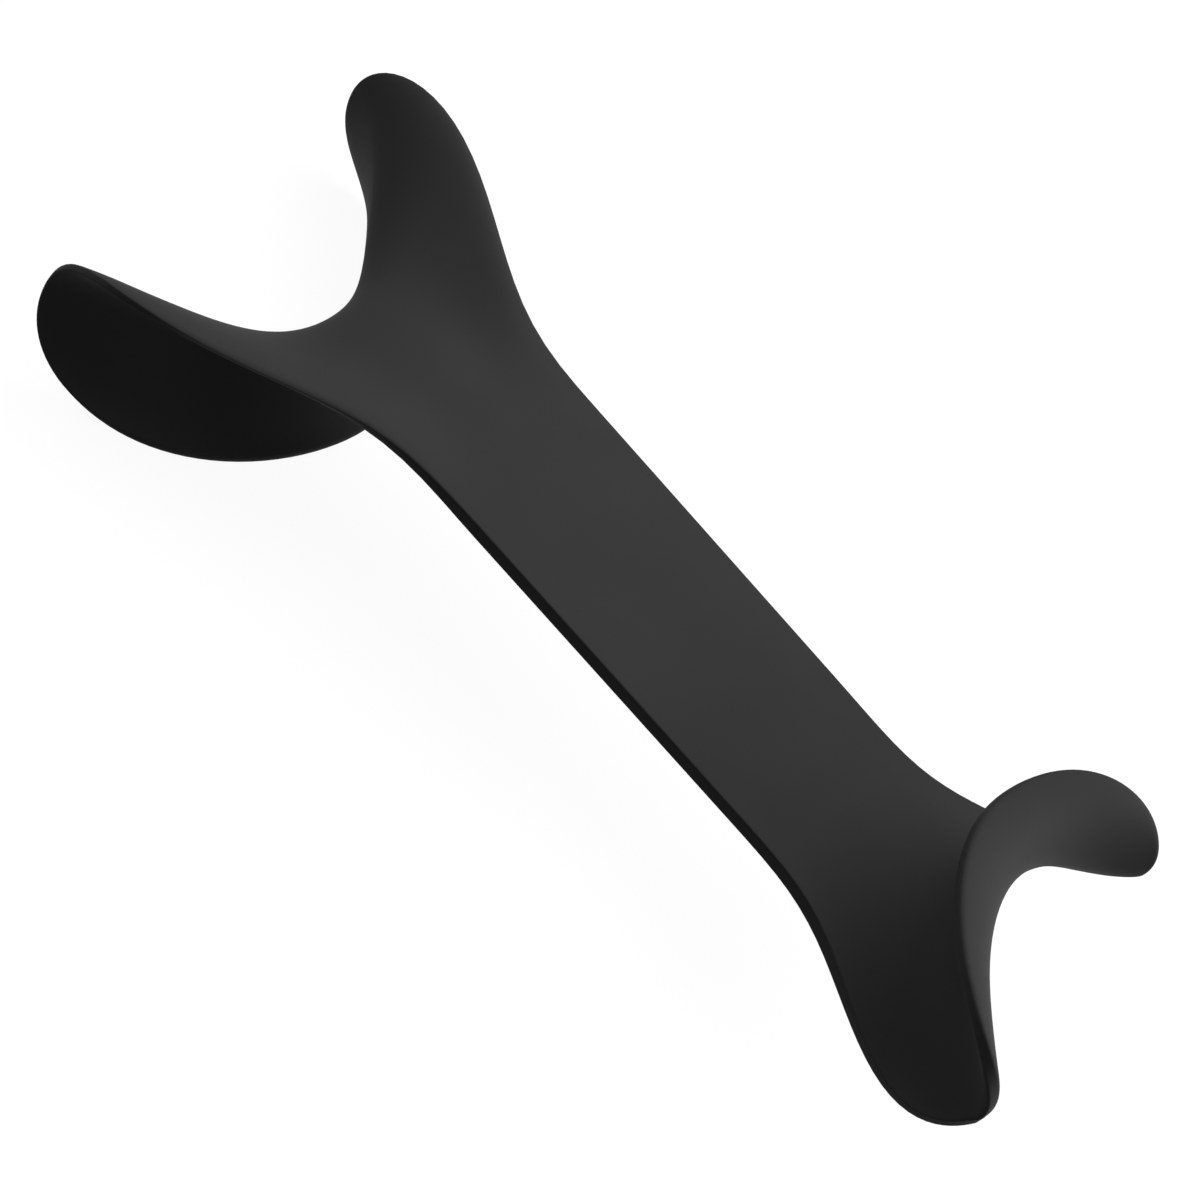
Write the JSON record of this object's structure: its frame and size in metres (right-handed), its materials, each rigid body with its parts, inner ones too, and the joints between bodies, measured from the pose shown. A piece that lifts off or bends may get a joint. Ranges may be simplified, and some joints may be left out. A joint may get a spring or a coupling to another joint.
{
  "type": "double-ended cheek retractor",
  "caption": "One-piece black plastic lip and cheek retractor: a flat handle between a wide and a narrow folded crescent hook.",
  "frame": {"origin": "centre of the flat underside of the handle", "axes": "+X along the handle towards the narrow hook, +Y across the handle, +Z out of the handle's upper face"},
  "size_m": [0.128, 0.0498, 0.0435],
  "materials": {
    "moulded_plastic": "satin black injection-moulded plastic"
  },
  "bodies": {
    "root": {"handle": "moulded_plastic", "wide_hook": "moulded_plastic", "narrow_hook": "moulded_plastic"}
  },
  "joints": []
}
